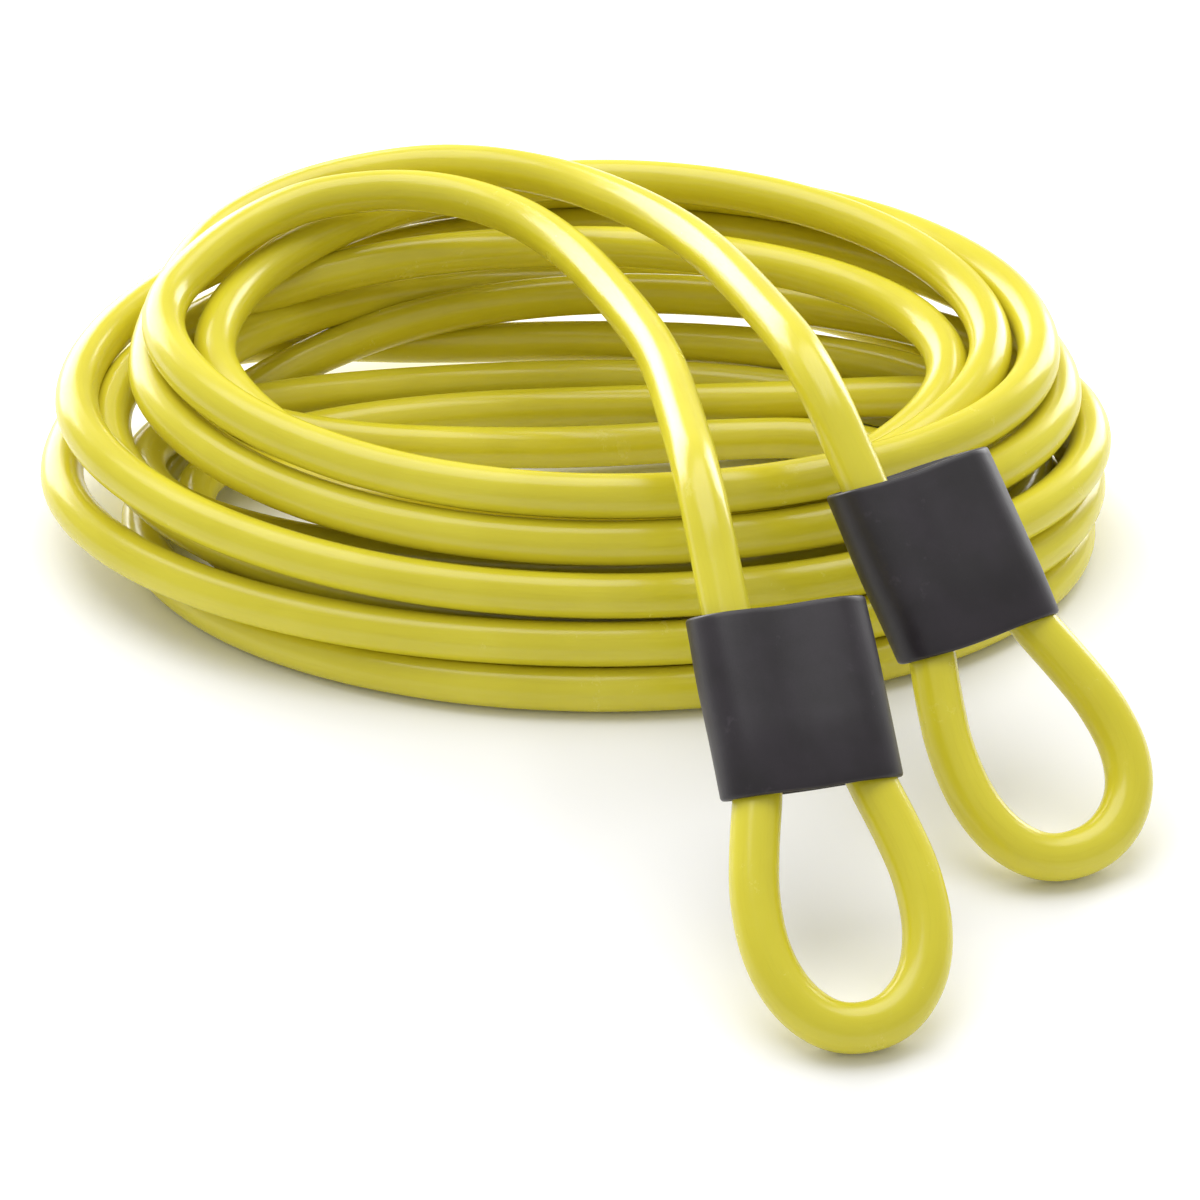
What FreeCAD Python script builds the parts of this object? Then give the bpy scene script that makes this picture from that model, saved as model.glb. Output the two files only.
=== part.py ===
import FreeCAD, Part
import math
import os

# A looped-end vinyl rope: one solid PVC cord lying in a loose oval coil, each end
# doubled back through a twin-barrel sleeve to make a finger loop.
# Millimetres, +Z up, origin at the bottom centre of the whole object's box,
# the two loops towards -Y.

V = FreeCAD.Vector

# Driving dimensions
CORD = 8.0                     # diameter of the cord
BARREL_PITCH = 16.0            # between the two bores of a sleeve
COVER_LENGTH = 32.0
COVER_RADIUS = 6.8             # outside of each barrel of the cover
COVER_WAIST = 11.4             # thickness of the cover between its barrels
FERRULE_LENGTH = 20.0
FERRULE_RADIUS = 5.5           # outside of each barrel of the crimped ferrule
FERRULE_WAIST = 5.0
FERRULE_SETBACK = 7.0          # from the cover's mouth to the ferrule
CUT_END = 27.0                 # the cord's cut end, this far inside the mouth
LEAD_STRAIGHT = 24.0           # how far the lead runs on in line above the cover

# The coil: an oval ring of turns that leans towards the loops as it goes down
COIL_BOTTOM = dict(centre=(0.0, 40.0), outer=(100.0, 69.0), inner=(74.0, 46.0), height=0.0, rise=0.0)
COIL_TOP = dict(centre=(2.0, 55.0), outer=(88.0, 68.0), inner=(66.0, 48.0), height=39.0, rise=4.0)

# Where each end's sleeve lies: the middle of its mouth, its compass direction from -Y
# towards +X, how steeply it slopes down to the loop, its roll about its own length, and
# how much more the loop's free side spreads for each 20 mm out
FRONT_END = dict(mouth=(37.8, -86.2, 26.5), heading=11.9, slope=34.0, roll=2.0, spread=0.0)
REAR_END = dict(mouth=(67.7, -44.2, 28.3), heading=27.0, slope=37.0, roll=8.0, spread=0.12)

# The finger loop in its sleeve's plane: distance out from the mouth, and half its width
LOOP_OUTLINE = [(-8.0, 8.0), (0.0, 9.6), (8.0, 11.9), (17.0, 13.8), (27.0, 13.6), (35.0, 10.3), (40.0, 4.2)]
NARROWER_SIDE = 0.93           # the loop is this much slimmer on its lead's side

# The free leads, from the back of the coil over its opening and its front rim
FRONT_LEAD = [
    (-70, 71, 43), (-60, 84, 44), (-49, 91, 45), (-31, 94, 45), (-14, 85, 45), (-1, 65, 46), (9, 37, 48),
    (15, 11, 52), (18, -17, 55),
]
REAR_LEAD = [
    (-74, 83, 38), (-62, 98, 40), (-46, 106, 42), (-26, 106, 45), (-6, 98, 46), (10, 81, 48), (23, 56, 52),
    (32, 24, 57),
]


def place_end(end):
    """The sleeve's frame: X across the barrels, Y from the mouth up to the lead, Z off its face."""
    heading = FreeCAD.Rotation(V(0, 0, 1), end["heading"])
    slope = FreeCAD.Rotation(V(1, 0, 0), end["slope"])
    roll = FreeCAD.Rotation(V(0, 1, 0), -end["roll"])
    return FreeCAD.Placement(V(*end["mouth"]), heading * slope * roll)


def rounded_path(points):
    """Straight runs joined by tangent arcs, each as large as its two runs allow."""
    edges = []
    radii = []
    start = points[0]
    for before, corner, after in zip(points, points[1:], points[2:]):
        run_in = (before - corner).normalize()
        run_out = (after - corner).normalize()
        turn = math.pi - run_in.getAngle(run_out)
        trim = 0.45 * min((corner - before).Length, (after - corner).Length)
        radius = trim / math.tan(turn / 2)
        radii.append(radius)
        arc_start = corner + run_in * trim
        arc_end = corner + run_out * trim
        inward = (run_in + run_out).normalize()
        middle = corner + inward * (math.hypot(radius, trim) - radius)
        edges.append(Part.LineSegment(start, arc_start).toShape())
        edges.append(Part.Arc(arc_start, middle, arc_end).toShape())
        start = arc_end
    edges.append(Part.LineSegment(start, points[-1]).toShape())
    return Part.Wire(edges), radii


def cord_tube(name, points):
    """A round cord along its route, with its radii and its volume printed."""
    path, radii = rounded_path(points)
    direction = points[1] - points[0]
    section = Part.Wire([Part.makeCircle(CORD / 2, points[0], direction)])
    tube = path.makePipeShell([section], True, False)
    expected = math.pi * CORD ** 2 / 4 * path.Length
    print(name, "length", round(path.Length, 1), "radii in diameters",
          [round(radius / CORD, 1) for radius in radii], "volume ratio", round(tube.Volume / expected, 4))
    return tube


def twin_barrel(radius, waist, y_low, y_high):
    """Two round barrels side by side along Y, joined by a flat waist."""
    length = y_high - y_low
    body = Part.makeBox(BARREL_PITCH, length, waist, V(-BARREL_PITCH / 2, y_low, -waist / 2))
    for side in (-1, 1):
        axis_start = V(side * BARREL_PITCH / 2, y_low, 0)
        body = body.fuse(Part.makeCylinder(radius, length, axis_start, V(0, 1, 0)))
    return body.removeSplitter()


def sleeve_cover():
    """The black vinyl cover: open at both ends, hollow for the ferrule and the cord."""
    body = twin_barrel(COVER_RADIUS, COVER_WAIST, 0, COVER_LENGTH)
    hollow = twin_barrel(FERRULE_RADIUS, FERRULE_WAIST, -1, COVER_LENGTH + 1)
    return body.cut(hollow)


def ferrule():
    """The aluminium twin-bore ferrule crimped on the two legs of the loop."""
    high = FERRULE_SETBACK + FERRULE_LENGTH
    body = twin_barrel(FERRULE_RADIUS, FERRULE_WAIST, FERRULE_SETBACK, high)
    for side in (-1, 1):
        axis_start = V(side * BARREL_PITCH / 2, FERRULE_SETBACK - 1, 0)
        body = body.cut(Part.makeCylinder(CORD / 2, FERRULE_LENGTH + 2, axis_start, V(0, 1, 0)))
    return body


def loop_route(place, spread):
    """From the cut end in one barrel, round the loop and back up the other barrel."""
    flat = [(-CUT_END, BARREL_PITCH / 2)]
    flat += [(out, side * (1 + spread * max(out, 0) / 20)) for out, side in LOOP_OUTLINE]
    flat += [(out, -NARROWER_SIDE * side) for out, side in reversed(LOOP_OUTLINE)]
    flat.append((-COVER_LENGTH, -BARREL_PITCH / 2))
    return [place.multVec(V(side, -out, 0)) for out, side in flat]


def lead_route(place, lead):
    """From the coil to the top of the sleeve, ending in line with its barrel."""
    last_bend = place.multVec(V(-BARREL_PITCH / 2, COVER_LENGTH + LEAD_STRAIGHT, 0))
    entry = place.multVec(V(-BARREL_PITCH / 2, COVER_LENGTH, 0))
    return [V(*point) for point in lead] + [last_bend, entry]


def oval(level, which):
    """One horizontal or tilted ellipse of the coil's outer or inner wall."""
    half_x, half_y = level[which]
    tilt = math.degrees(math.atan2(level["rise"], 2 * level["outer"][1]))
    ellipse = Part.Ellipse(V(0, 0, 0), half_x, half_y).toShape()
    ellipse.rotate(V(0, 0, 0), V(1, 0, 0), tilt)
    ellipse.translate(V(*level["centre"], level["height"]))
    return Part.Wire([ellipse])


def coil_ring():
    """The outer shape of the wound turns: a leaning oval ring, open in the middle."""
    outer = Part.makeLoft([oval(COIL_BOTTOM, "outer"), oval(COIL_TOP, "outer")], True, True)
    inner = Part.makeLoft([oval(COIL_BOTTOM, "inner"), oval(COIL_TOP, "inner")], True, True)
    return outer.cut(inner)


os.makedirs("parts", exist_ok=True)
nodes = {"rope_coil": coil_ring()}
for name, end, lead in (("front", FRONT_END, FRONT_LEAD), ("rear", REAR_END, REAR_LEAD)):
    place = place_end(end)
    for kind, shape in (("sleeve_cover", sleeve_cover()), ("ferrule", ferrule())):
        shape.Placement = place
        nodes[f"{kind}_{name}"] = shape
    nodes[f"rope_loop_{name}"] = cord_tube(f"loop {name}", loop_route(place, end["spread"]))
    nodes[f"rope_lead_{name}"] = cord_tube(f"lead {name}", lead_route(place, lead))

for node, shape in nodes.items():
    shape.exportStep(f"parts/{node}.step")
box = Part.makeCompound(list(nodes.values())).optimalBoundingBox(False, False)
print("box X", round(box.XMin, 2), round(box.XMax, 2), "Y", round(box.YMin, 2), round(box.YMax, 2),
      "Z", round(box.ZMin, 2), round(box.ZMax, 2))
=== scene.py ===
import math
import bpy
import numpy as np
from mathutils import Matrix, Vector, noise


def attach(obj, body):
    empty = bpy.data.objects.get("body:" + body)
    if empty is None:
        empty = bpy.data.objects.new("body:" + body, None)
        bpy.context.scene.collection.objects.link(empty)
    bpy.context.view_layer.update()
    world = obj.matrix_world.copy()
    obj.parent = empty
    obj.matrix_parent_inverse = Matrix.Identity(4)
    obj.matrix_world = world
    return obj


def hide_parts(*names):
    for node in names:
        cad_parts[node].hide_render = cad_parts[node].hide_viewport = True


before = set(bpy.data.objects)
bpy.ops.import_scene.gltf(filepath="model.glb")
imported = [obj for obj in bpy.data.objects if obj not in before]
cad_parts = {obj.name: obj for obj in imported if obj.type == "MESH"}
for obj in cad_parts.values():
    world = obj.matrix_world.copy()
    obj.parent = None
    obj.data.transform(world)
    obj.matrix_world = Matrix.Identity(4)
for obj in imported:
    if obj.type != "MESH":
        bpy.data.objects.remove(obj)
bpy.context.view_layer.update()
scene = bpy.context.scene

# Camera: a long lens, in front of the coil and looking down on it.
camera_data = bpy.data.cameras.new("camera")
camera_data.lens = 120
camera_data.sensor_width = 36
camera = bpy.data.objects.new("camera", camera_data)
camera.location = (0.004, -0.6111, 0.3864)
camera.rotation_euler = (math.radians(58.28), 0, 0)
scene.collection.objects.link(camera)
scene.camera = camera


# The rope: one solid PVC cord, 8 mm thick, doubled at its middle and wound, both strands the same
# way, into a loose oval coil. Each end comes from the back of the coil, over its front rim, down
# through a sleeve, round a finger loop and back up into the sleeve's other barrel.
CORD = 0.008                    # diameter
BARREL_PITCH = 0.016            # between a sleeve's two bores
COVER_LENGTH = 0.032
CUT_END = 0.027                 # the cord's cut end, this far inside the sleeve's mouth
SLEEVE_MIDDLE = 0.020           # both legs also pass straight through here, up from the mouth
LEAD_STRAIGHT = 0.024           # the lead runs on in line this far above the sleeve


def sleeve_place(mouth, heading, slope, roll):
    """The sleeve's frame: X across its barrels, Y from the mouth up to the lead, Z off its face."""
    turn = Matrix.Rotation(math.radians(heading), 4, "Z")
    turn = turn @ Matrix.Rotation(math.radians(slope), 4, "X")
    turn = turn @ Matrix.Rotation(math.radians(-roll), 4, "Y")
    return Matrix.Translation(mouth) @ turn


FRONT_PLACE = sleeve_place((0.0378, -0.0862, 0.0265), heading=11.9, slope=34.0, roll=2.0)
REAR_PLACE = sleeve_place((0.0677, -0.0442, 0.0283), heading=27.0, slope=37.0, roll=8.0)

# The finger loop in its sleeve's plane: distance out from the mouth, and half its width
LOOP_OUTLINE = [
    (-0.008, 0.0080), (0.0, 0.0096), (0.008, 0.0119), (0.017, 0.0138), (0.027, 0.0136), (0.035, 0.0103),
    (0.040, 0.0042),
]
NARROWER_SIDE = 0.93            # the loop's half width on its lead's side, as a share of the other
REAR_SPREAD = 0.12              # the rear loop's free side spreads by this share more...
SPREAD_RUN = 0.02               # ...for each run of this length out from the mouth
FRONT_LEAD = [
    (-0.070, 0.071, 0.043), (-0.060, 0.084, 0.044), (-0.049, 0.091, 0.045), (-0.031, 0.094, 0.045),
    (-0.014, 0.085, 0.045), (-0.001, 0.065, 0.046), (0.009, 0.037, 0.048), (0.015, 0.011, 0.052),
    (0.018, -0.017, 0.055),
]
REAR_LEAD = [
    (-0.074, 0.083, 0.038), (-0.062, 0.098, 0.040), (-0.046, 0.106, 0.042), (-0.026, 0.106, 0.045),
    (-0.006, 0.098, 0.046), (0.010, 0.081, 0.048), (0.023, 0.056, 0.052), (0.032, 0.024, 0.057),
]


def end_route(place, lead, spread):
    """From the cut end, round the finger loop, up through the sleeve and along the lead."""
    flat = [(-CUT_END, BARREL_PITCH / 2), (-SLEEVE_MIDDLE, BARREL_PITCH / 2)]
    flat += [(out, side * (1 + spread * max(out, 0) / SPREAD_RUN)) for out, side in LOOP_OUTLINE]
    flat += [(out, -NARROWER_SIDE * side) for out, side in reversed(LOOP_OUTLINE)]
    for out in (SLEEVE_MIDDLE, COVER_LENGTH, COVER_LENGTH + LEAD_STRAIGHT):
        flat.append((-out, -BARREL_PITCH / 2))
    held = [place @ Vector((side, -out, 0)) for out, side in flat]
    return held + [Vector(point) for point in reversed(lead)]


# Where each strand passes the left, front, right and back of the coil, turn after turn, from the
# lead to the bight: how far out, and how high, both in cord diameters
FRONT_STRAND = [
    (10.2, 4.95), (-10.5, 4.15), (10.2, 4.15), (5.2, 3.85),
    (12.0, 3.10), (-11.7, 2.25), (11.5, 2.40), (3.1, 2.20),
    (10.5, 0.60), (-12.5, 0.50), (11.0, 0.50), (2.0, 0.50),
    (11.3, 2.20), (-10.5, 2.60), (9.8, 2.60), (-0.1, 0.60),
    (9.5, 1.00), (-10.4, 0.50),
]
REAR_STRAND = [
    (10.5, 4.05), (-11.0, 3.30), (10.75, 3.30), (4.9, 3.20),
    (12.5, 1.65), (-12.2, 1.40), (11.3, 1.42), (4.0, 1.85),
    (9.8, 2.90), (-9.9, 3.10), (9.2, 4.40), (4.5, 4.80),
    (9.0, 4.20), (-8.9, 2.35), (8.2, 3.60), (2.3, 3.30),
    (11.2, 2.30), (-11.2, 1.30), (10.1, 1.90), (2.0, 1.45),
]
PASS_ORIGIN = (0.5, 9.75)       # where the passes are measured from, in diameters
COIL_TOP = 4.6                  # height of the top turns, in diameters
TOP_CENTRE = -3.3               # the middle of the top turns, along Y from that origin
LEAN = 0.45                     # the middle comes this much nearer the loops, a diameter down
POINTS_A_QUARTER = 4
STAND_OUT = 1 / math.cos(math.tau / (8 * POINTS_A_QUARTER))   # a spline passes inside its points


def coil_route(passes):
    """Points of a strand's turns, eased from each pass to the next."""
    points = []
    for step in range((len(passes) - 1) * POINTS_A_QUARTER + 1):
        quarter = min(step // POINTS_A_QUARTER, len(passes) - 2)
        near, far = passes[quarter], passes[quarter + 1]
        side, end = (near, far) if quarter % 2 == 0 else (far, near)
        eased = (1 - math.cos(math.pi * (step / POINTS_A_QUARTER - quarter))) / 2
        height = near[1] + (far[1] - near[1]) * eased
        angle = math.tau * step / (4 * POINTS_A_QUARTER)
        centre = TOP_CENTRE - LEAN * (COIL_TOP - height)
        across = -side[0] * STAND_OUT * math.cos(angle)
        along = centre + (end[0] - centre) * STAND_OUT * abs(math.sin(angle))
        points.append(Vector((PASS_ORIGIN[0] + across, PASS_ORIGIN[1] + along, height)) * CORD)
    return points


# The bight, where the two strands turn into each other: from inside the front wall across the
# floor of the coil, then round under its left side to the back
BIGHT = [
    (0.022, -0.003, 0.004), (0.046, 0.001, 0.004), (0.064, 0.014, 0.004), (0.072, 0.034, 0.004),
    (0.067, 0.055, 0.004), (0.048, 0.065, 0.004), (0.024, 0.063, 0.004), (0.000, 0.059, 0.004),
    (-0.022, 0.056, 0.005), (-0.044, 0.051, 0.008), (-0.064, 0.050, 0.012), (-0.077, 0.059, 0.015),
    (-0.078, 0.074, 0.015), (-0.068, 0.086, 0.014), (-0.050, 0.092, 0.012), (-0.030, 0.094, 0.011),
]

SAMPLES = 8                     # places looked at in each span of the spline
LAPS = 160                      # small moves made in all
WATCH_LAPS = 8                  # the close pairs are found afresh after so many laps
WATCH_REACH = 1.5               # pairs within so many diameters are watched
SAME_BEND = 1.5                 # but none so few spans apart along the cord
EAGERNESS = 1.5                 # how hard a point follows the push on it
LEAST_SHARE = 0.3               # the least that a point's summed push is divided by
STIFFNESS = 0.2                 # how far a point is drawn to its neighbours' shift, each lap
KEPT = 0.995                    # the share of its shift that a point keeps, each lap


def settle(points, give):
    """Lays the coil down: where two stretches would share a place they press each other apart, and
    none sinks into the floor. give is 0 where the cord is held and 1 where it lies loose."""
    start = np.array(points)
    laid = start.copy()
    give = np.array(give)[:, None]
    share = np.zeros(((len(start) - 2) * SAMPLES, len(start)))
    for row in range(len(share)):
        span, part = divmod(row, SAMPLES)
        part /= SAMPLES
        share[row, span:span + 3] = ((1 - part) ** 2 / 2, 0.5 + part - part ** 2, part ** 2 / 2)
    order = np.arange(len(share))
    apart_along = np.abs(order[:, None] - order[None, :]) > SAME_BEND * SAMPLES
    for lap in range(LAPS):
        line = share @ laid
        if lap % WATCH_LAPS == 0:
            gaps = np.linalg.norm(line[:, None] - line[None, :], axis=2)
            first, second = np.nonzero((gaps < WATCH_REACH * CORD) & apart_along)
        between = line[first] - line[second]
        gap = np.maximum(np.linalg.norm(between, axis=1), 1e-6)
        press = np.maximum(CORD - gap, 0) / gap
        push = np.zeros_like(line)
        np.add.at(push, first, between * press[:, None] * 0.5)
        hits = np.bincount(first, weights=press > 0, minlength=len(line))[:, None]
        push /= np.maximum(hits, 1)
        moved = share.T @ push / np.maximum(share.T @ (hits > 0), LEAST_SHARE)
        offset = laid + EAGERNESS * give * moved - start
        offset[1:-1] += STIFFNESS * give[1:-1] * (offset[:-2] + offset[2:] - 2 * offset[1:-1])
        laid = start + KEPT * offset
        laid[:, 2] = np.maximum(laid[:, 2], CORD / 2)
    return [Vector(point) for point in laid]


front_end = end_route(FRONT_PLACE, FRONT_LEAD, 0)
rear_end = end_route(REAR_PLACE, REAR_LEAD, REAR_SPREAD)
front_turns = coil_route(FRONT_STRAND)
rear_turns = coil_route(REAR_STRAND)
bight = [Vector(point) for point in BIGHT]
route = front_end + front_turns + bight + rear_turns[::-1] + rear_end[::-1]

OUTER_TURNS = 10 * POINTS_A_QUARTER     # the first steps of each strand are its outer turns
HELD, FIRM, LOOSE = 0.0, 0.35, 1.0      # how freely a stretch of the route may move
front_give = [FIRM if step < OUTER_TURNS else LOOSE for step in range(len(front_turns))]
rear_give = [FIRM if step < OUTER_TURNS else LOOSE for step in range(len(rear_turns))]
give = [HELD] * len(front_end) + front_give + [LOOSE] * len(bight)
give += rear_give[::-1] + [HELD] * len(rear_end)
route = settle(route, give)

rope_curve = bpy.data.curves.new("rope_line", "CURVE")
rope_curve.dimensions = "3D"
rope_curve.resolution_u = 10
spline = rope_curve.splines.new("NURBS")
spline.points.add(len(route) - 1)
for control, point in zip(spline.points, route):
    control.co = (*point, 1)
spline.order_u = 3
spline.use_endpoint_u = True
rope_line = bpy.data.objects.new("rope_line", rope_curve)
line_mesh = bpy.data.meshes.new_from_object(rope_line)
LEAST_STEP = 0.0001             # points nearer than this to the last one are dropped
path = [line_mesh.vertices[0].co.copy()]
for vertex in line_mesh.vertices:
    if (vertex.co - path[-1]).length > LEAST_STEP:
        path.append(vertex.co.copy())
bpy.data.objects.remove(rope_line)

SIDES = 24                      # corners of the cord's round section
CUT_ROUNDING = 0.0006           # how far from a cut end the cord is rounded over...
ROUNDED_BY = 0.12               # ...and the share of its radius that it loses there
UNEVEN_ALONG = (0.008, 30)      # the die's unevenness along the cord: its share, and waves a metre
UNEVEN_ROUND = (0.006, 45)      # and the same for its roundness


def cord_mesh(name, line, radius):
    """A tube along the line with closed, rounded ends. Its map "cord" runs round the cord as u,
    from 0 to 1, and along it as v, in metres."""
    along = [0.0]
    for before, after in zip(line, line[1:]):
        along.append(along[-1] + (after - before).length)
    vertices = []
    across = (line[1] - line[0]).orthogonal()
    for index, point in enumerate(line):
        heading = (line[min(index + 1, len(line) - 1)] - line[max(index - 1, 0)]).normalized()
        across = (across - heading * across.dot(heading)).normalized()
        above = heading.cross(across)
        from_end = min(along[index], along[-1] - along[index])
        rounded = 1 - ROUNDED_BY * max(0.0, 1 - from_end / CUT_ROUNDING)
        drawn = 1 + UNEVEN_ALONG[0] * noise.noise(Vector((along[index] * UNEVEN_ALONG[1], 0.5, 0.5)))
        for side in range(SIDES):
            turn = math.tau * side / SIDES
            spot = Vector((math.cos(turn), math.sin(turn), along[index] * UNEVEN_ROUND[1]))
            swell = 1 + UNEVEN_ROUND[0] * noise.noise(spot)
            reach = across * math.cos(turn) + above * math.sin(turn)
            vertices.append(point + reach * radius * rounded * drawn * swell)
    faces = []
    for ring in range(len(line) - 1):
        for side in range(SIDES):
            after = (side + 1) % SIDES
            low, high = ring * SIDES, (ring + 1) * SIDES
            faces.append((low + side, low + after, high + after, high + side))
    faces.append(tuple(reversed(range(SIDES))))
    faces.append(tuple(range((len(line) - 1) * SIDES, len(line) * SIDES)))
    mesh = bpy.data.meshes.new(name)
    mesh.from_pydata(vertices, [], faces)
    cord_map = mesh.uv_layers.new(name="cord")
    for polygon in mesh.polygons:
        if len(polygon.vertices) != 4:
            continue
        polygon.use_smooth = True
        ring, side = divmod(polygon.index, SIDES)
        corners = ((side, ring), (side + 1, ring), (side + 1, ring + 1), (side, ring + 1))
        for loop, (u, v) in zip(polygon.loop_indices, corners):
            cord_map.data[loop].uv = (u / SIDES, along[v])
    return mesh


class Signal:
    """A shader socket written like a number: sums, differences and products add Math nodes."""

    def __init__(self, tree, socket=None):
        self.tree = tree
        self.socket = socket

    def node(self, kind, settings, inputs, output=0):
        """A node of this kind: its settings, then the values or links of its sockets."""
        made = self.tree.nodes.new(kind)
        for name, value in settings.items():
            setattr(made, name, value)
        for name, value in inputs.items():
            if isinstance(value, Signal):
                self.tree.links.new(value.socket, made.inputs[name])
            else:
                made.inputs[name].default_value = value
        return Signal(self.tree, made.outputs[output])

    def math(self, operation, *values):
        return self.node("ShaderNodeMath", {"operation": operation}, dict(enumerate(values)))

    def __add__(self, other):
        return self.math("ADD", self, other)

    __radd__ = __add__

    def __sub__(self, other):
        return self.math("SUBTRACT", self, other)

    def __rsub__(self, other):
        return self.math("SUBTRACT", other, self)

    def __mul__(self, other):
        return self.math("MULTIPLY", self, other)

    __rmul__ = __mul__

    def ramp(self, low, high):
        """0 up to low, 1 from high, and smooth between."""
        return self.node("ShaderNodeMapRange", {"interpolation_type": "SMOOTHSTEP"},
                         {"Value": self, "From Min": low, "From Max": high})

    def clouds(self, scale, detail=3.0, roughness=0.5):
        """Smooth random patches, from 0 to 1, over this place."""
        inputs = {"Vector": self, "Scale": scale, "Detail": detail, "Roughness": roughness}
        return self.node("ShaderNodeTexNoise", {}, inputs)

    def specks(self, scale, size, share):
        """1 on this share of small round specks scattered over this place."""
        cells = {"Vector": self, "Scale": scale}
        near = 1 - self.node("ShaderNodeTexVoronoi", {}, cells).ramp(size * 0.6, size)
        chance = self.node("ShaderNodeTexVoronoi", {}, cells, output="Color")
        return near * chance.math("GREATER_THAN", chance, 1 - share)

    def paint(self, first, second, share):
        """Two colours mixed by a share, each a Signal or four numbers."""
        colours = {0: share, 6: first, 7: second}
        return self.node("ShaderNodeMix", {"data_type": "RGBA"}, colours, output=2)

    def tint(self, other, share):
        """This colour mixed by a share towards another."""
        return self.paint(self, other, share)

    def raised(self, distance):
        """This height in metres of relief, as a normal."""
        return self.node("ShaderNodeBump", {}, {"Height": self, "Distance": distance, "Strength": 1.0})

    def feed(self, shader, name):
        self.tree.links.new(self.socket, shader.inputs[name])


def map_round_and_along(start, layer, lengthwise):
    """A place on a tube from its map, so that a pattern closes round it and runs along it."""
    mapped = start.node("ShaderNodeUVMap", {"uv_map": layer}, {})
    turn = start.node("ShaderNodeSeparateXYZ", {}, {0: mapped}, output=0) * math.tau
    length = start.node("ShaderNodeSeparateXYZ", {}, {0: mapped}, output=1) * lengthwise
    return start.node("ShaderNodeCombineXYZ", {},
                      {0: turn.math("COSINE", turn), 1: turn.math("SINE", turn), 2: length})


def yellow_vinyl():
    """Glossy extruded vinyl: slightly cloudy yellow, fine lines from the die along the cord, small
    specks in the plastic, and dull scuffs where it has been dragged."""
    material = bpy.data.materials.new("yellow_vinyl")
    material.use_nodes = True
    shader = material.node_tree.nodes["Principled BSDF"]
    shader.inputs["IOR"].default_value = 1.53
    shader.inputs["Subsurface Weight"].default_value = 0.15
    shader.inputs["Subsurface Radius"].default_value = (1.0, 0.8, 0.2)
    shader.inputs["Subsurface Scale"].default_value = 0.0015
    start = Signal(material.node_tree)
    place = start.node("ShaderNodeTexCoord", {}, {}, output="Object")
    drawn = map_round_and_along(start, "cord", lengthwise=14.0)
    lines = drawn.clouds(5.0, detail=5.0, roughness=0.65)
    cloudy = place.clouds(38.0)
    colour = start.paint((0.66, 0.58, 0.026, 1), (0.72, 0.64, 0.040, 1), cloudy.ramp(0.3, 0.7))
    colour = colour.tint((0.58, 0.49, 0.020, 1), lines.ramp(0.50, 0.80) * 0.35)
    colour = colour.tint((0.93, 0.88, 0.30, 1), place.specks(420.0, 0.14, 0.02) * 0.4)
    colour = colour.tint((0.30, 0.24, 0.03, 1), place.specks(300.0, 0.12, 0.012) * 0.8)
    scuffed = place.clouds(150.0, detail=6.0, roughness=0.7).ramp(0.56, 0.70)
    scuffed = scuffed * place.clouds(24.0).ramp(0.45, 0.60)
    colour.tint((0.80, 0.73, 0.12, 1), scuffed * 0.12).feed(shader, "Base Color")
    (0.16 + cloudy * 0.05 + lines * 0.08 + scuffed * 0.08).feed(shader, "Roughness")
    grain = place.clouds(1600.0, detail=2.0)
    dents = place.clouds(95.0, detail=2.0)
    (lines * 0.30 + grain * 0.06 + dents * 0.9 - scuffed * 0.04).raised(0.00010).feed(shader, "Normal")
    return material


rope = bpy.data.objects.new("vinyl_rope", cord_mesh("vinyl_rope", path, CORD / 2))
scene.collection.objects.link(rope)
rope.data.materials.append(yellow_vinyl())
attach(rope, "root")
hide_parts("rope_coil", "rope_lead_front", "rope_lead_rear", "rope_loop_front", "rope_loop_rear")


# Sleeve covers: a black vinyl tube, 1.3 mm thick, pushed over each ferrule while warm, so that it
# draws in between the two legs. Both ends are cut by hand on the slant, so neither is quite
# straight.
COVER_RADIUS = 0.0068           # outside of each barrel
COVER_WAIST = 0.0057            # half the thickness between the barrels
COVER_WALL = 0.0013
MOUTH_SLANT = 0.0018            # the mouth is cut on the slant, its face edge longer by this
TOP_SLANT = -0.0024             # and the top so that its face edge is shorter by this
MOUTH_PINCH = 0.20              # the mouth has drawn in on the cord by this share
CUT_REACH = 0.010               # how far from an end its slant and pinch reach
BARREL_STEPS = 22               # corners of the outline round a barrel
DIP_STEPS = 18                  # and between the barrels
OUTSIDE_STEPS = 30              # from the mouth to the top, outside
INSIDE_STEPS = 10               # and inside
LIP_STEPS = 6                   # and round each end's lip
WAVY = 0.012                    # the cover's size varies by this share...
WAVES = (90, 70)                # ...in so many waves a metre, across and along
BELLY = 0.010                   # and it is fuller by this share at its middle
RAGGED = 0.0007                 # how far a cut edge wanders...
RAGGED_WAVES = 60               # ...in so many waves a metre


def twin_outline(inset):
    """The cover's section this far inside its outside: (across, off) pairs from the lead's side."""
    radius = COVER_RADIUS - inset
    waist = COVER_WAIST - inset
    outline = []
    for side in (1, -1):
        for step in range(BARREL_STEPS):
            turn = math.pi * (step / BARREL_STEPS - 0.5)
            across = BARREL_PITCH / 2 + radius * math.cos(turn)
            outline.append((side * across, side * radius * math.sin(turn)))
        for step in range(DIP_STEPS):
            across = BARREL_PITCH * (0.5 - step / DIP_STEPS)
            dip = (1 + math.cos(math.tau * across / BARREL_PITCH)) / 2
            outline.append((side * across, side * (radius - (radius - waist) * dip)))
    return outline


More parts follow.
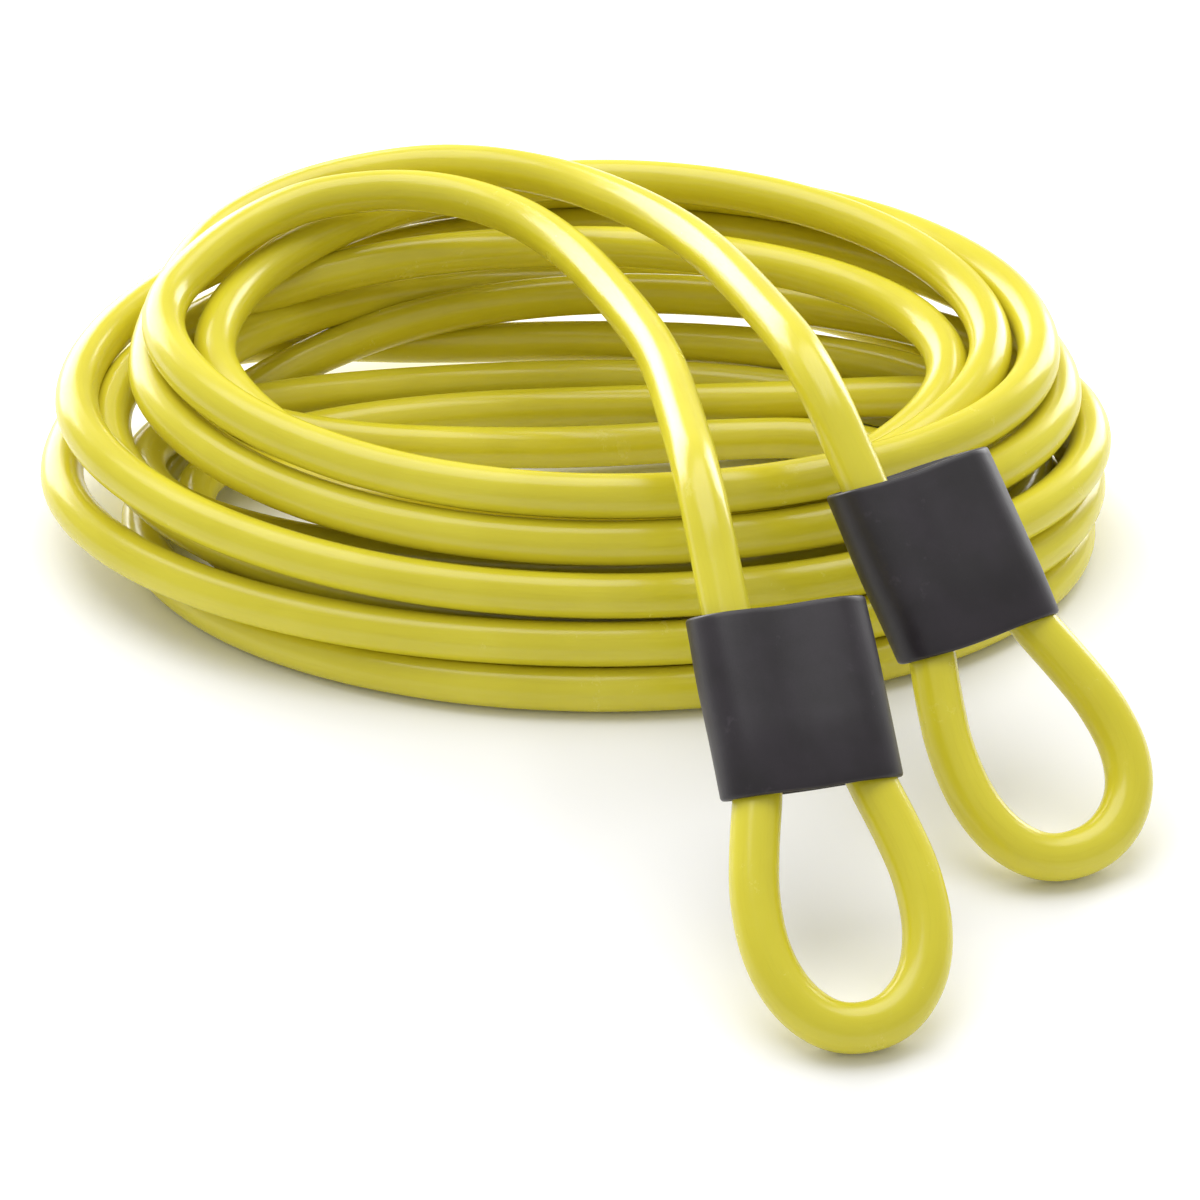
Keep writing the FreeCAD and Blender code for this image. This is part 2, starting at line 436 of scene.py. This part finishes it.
def cover_mesh(name, place, seed):
    """A closed shell lofted from one end of the sleeve to the other and back inside. Its map
    "sleeve" runs round it as u, from 0 to 1, and along it as v, in metres."""
    lip = COVER_WALL / 2
    profile = []
    for step in range(OUTSIDE_STEPS + 1):
        profile.append((lip + (COVER_LENGTH - 2 * lip) * step / OUTSIDE_STEPS, 0.0))
    for step in range(1, LIP_STEPS):
        turn = math.pi * step / LIP_STEPS
        profile.append((COVER_LENGTH - lip + lip * math.sin(turn), lip * (1 - math.cos(turn))))
    for step in range(INSIDE_STEPS + 1):
        profile.append((COVER_LENGTH - lip - (COVER_LENGTH - 2 * lip) * step / INSIDE_STEPS, COVER_WALL))
    for step in range(1, LIP_STEPS):
        turn = math.pi * step / LIP_STEPS
        profile.append((lip - lip * math.sin(turn), lip * (1 + math.cos(turn))))
    vertices = []
    for along, inset in profile:
        outline = twin_outline(inset)
        middle = math.sin(math.pi * (along / COVER_LENGTH))
        ends = (2 * along / COVER_LENGTH - 1) ** 2
        at_mouth = max(0, 1 - along / CUT_REACH) ** 2
        at_top = max(0, 1 - (COVER_LENGTH - along) / CUT_REACH) ** 2
        drawn_in = 1 - MOUTH_PINCH * at_mouth
        for across, off in outline:
            spot = Vector((across * WAVES[0] + seed, off * WAVES[0], along * WAVES[1]))
            wavy = 1 + WAVY * noise.noise(spot) + BELLY * middle
            edge_spot = Vector((across * RAGGED_WAVES + seed, off * RAGGED_WAVES, 7.0))
            uneven = RAGGED * noise.noise(edge_spot)
            cut = (TOP_SLANT * at_top - MOUTH_SLANT * at_mouth) * off / COVER_RADIUS
            reach = along + uneven * ends + cut
            vertices.append(place @ Vector((across * wavy, reach, off * wavy * drawn_in)))
    count = len(outline)
    faces = []
    for ring in range(len(profile)):
        for side in range(count):
            low, high = ring * count, (ring + 1) % len(profile) * count
            after = (side + 1) % count
            faces.append((low + side, high + side, high + after, low + after))
    mesh = bpy.data.meshes.new(name)
    mesh.from_pydata(vertices, [], faces)
    sleeve_map = mesh.uv_layers.new(name="sleeve")
    for polygon in mesh.polygons:
        polygon.use_smooth = True
        ring, side = divmod(polygon.index, count)
        corners = ((side, ring), (side, ring + 1), (side + 1, ring + 1), (side + 1, ring))
        for loop, (u, v) in zip(polygon.loop_indices, corners):
            sleeve_map.data[loop].uv = (u / count, profile[v % len(profile)][0])
    return mesh


def black_vinyl():
    """Satin black vinyl with a violet cast: lines drawn along the tube, a fine grain, pale scuffs
    and scratches from handling, and a few specks of dust."""
    material = bpy.data.materials.new("black_vinyl")
    material.use_nodes = True
    shader = material.node_tree.nodes["Principled BSDF"]
    shader.inputs["IOR"].default_value = 1.5
    start = Signal(material.node_tree)
    place = start.node("ShaderNodeTexCoord", {}, {}, output="Object")
    drawn = map_round_and_along(start, "sleeve", lengthwise=9.0)
    lines = drawn.clouds(7.0, detail=5.0, roughness=0.6)
    cloudy = place.clouds(110.0)
    colour = start.paint((0.011, 0.008, 0.010, 1), (0.019, 0.014, 0.019, 1), cloudy.ramp(0.3, 0.7))
    scuffed = place.clouds(340.0, detail=5.0, roughness=0.7).ramp(0.58, 0.72)
    scuffed = scuffed * place.clouds(60.0).ramp(0.50, 0.62)
    lengthwise = map_round_and_along(start, "sleeve", lengthwise=40.0)
    scratched = lengthwise.clouds(3.1, detail=7.0, roughness=0.75).ramp(0.66, 0.70)
    dusty = place.specks(520.0, 0.15, 0.04)
    colour = colour.tint((0.060, 0.048, 0.060, 1), scuffed * 0.35 + scratched * 0.25)
    colour.tint((0.22, 0.20, 0.20, 1), dusty * 0.6).feed(shader, "Base Color")
    (0.36 + lines * 0.10 + scuffed * 0.16).feed(shader, "Roughness")
    grain = place.clouds(2400.0, detail=2.0)
    (lines * 0.5 + grain * 0.12 + scratched * 0.2).raised(0.00008).feed(shader, "Normal")
    return material


cover_vinyl = black_vinyl()
for name, place, seed in (("front", FRONT_PLACE, 2.0), ("rear", REAR_PLACE, 9.0)):
    cover = bpy.data.objects.new(f"cover_{name}", cover_mesh(f"cover_{name}", place, seed))
    scene.collection.objects.link(cover)
    cover.data.materials.append(cover_vinyl)
    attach(cover, "root")
    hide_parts(f"sleeve_cover_{name}")


# Ferrules: inside each cover, an aluminium figure of eight pressed shut on the two legs of the
# loop. Only its ends can be seen, down the mouths of the cover.
def pressed_aluminium():
    """Dull pressed aluminium with the tool's bruises."""
    material = bpy.data.materials.new("pressed_aluminium")
    material.use_nodes = True
    shader = material.node_tree.nodes["Principled BSDF"]
    shader.inputs["Metallic"].default_value = 1.0
    start = Signal(material.node_tree)
    place = start.node("ShaderNodeTexCoord", {}, {}, output="Object")
    dull = place.clouds(260.0, detail=5.0, roughness=0.6)
    colour = start.paint((0.56, 0.57, 0.58, 1), (0.78, 0.79, 0.80, 1), dull.ramp(0.3, 0.7))
    colour.feed(shader, "Base Color")
    (0.30 + dull * 0.25).feed(shader, "Roughness")
    (dull * 0.6 + place.clouds(900.0) * 0.3).raised(0.00012).feed(shader, "Normal")
    return material


aluminium = pressed_aluminium()
for name in ("ferrule_front", "ferrule_rear"):
    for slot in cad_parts[name].material_slots:
        slot.material = aluminium


# The pale floor and the soft studio light: two broad lights behind, one each side, put the long
# pale gleams on the cord, and a wide one above fills in between them.
FLOOR_HALF = 3.0
floor_mesh = bpy.data.meshes.new("floor")
floor_mesh.from_pydata([(x, y, 0) for x, y in ((-1, -1), (1, -1), (1, 1), (-1, 1))], [], [(0, 1, 2, 3)])
floor = bpy.data.objects.new("floor", floor_mesh)
floor.scale = (FLOOR_HALF, FLOOR_HALF, 1)
scene.collection.objects.link(floor)
floor_paint = bpy.data.materials.new("pale_floor")
floor_paint.use_nodes = True
floor_shader = floor_paint.node_tree.nodes["Principled BSDF"]
floor_shader.inputs["Base Color"].default_value = (0.93, 0.93, 0.93, 1)
floor_shader.inputs["Roughness"].default_value = 0.9
floor_mesh.materials.append(floor_paint)

world = bpy.data.worlds.new("studio")
world.use_nodes = True
world.node_tree.nodes["Background"].inputs["Color"].default_value = (1, 1, 1, 1)
world.node_tree.nodes["Background"].inputs["Strength"].default_value = 0.58
scene.world = world
scene.view_settings.view_transform = "Standard"

TARGET = Vector((0, 0.02, 0.02))    # what the lights are turned to
for name, place, size, power in (
    ("left_light", (-0.62, 0.95, 0.34), (0.80, 0.70), 11.0),
    ("right_light", (0.68, 0.88, 0.36), (0.45, 0.65), 6.5),
    ("top_light", (-0.10, 0.28, 1.05), (1.20, 0.90), 9.0),
):
    lamp_data = bpy.data.lights.new(name, "AREA")
    lamp_data.shape = "RECTANGLE"
    lamp_data.size, lamp_data.size_y = size
    lamp_data.energy = power
    lamp = bpy.data.objects.new(name, lamp_data)
    lamp.location = place
    lamp.rotation_euler = (TARGET - Vector(place)).to_track_quat("-Z", "Y").to_euler()
    scene.collection.objects.link(lamp)
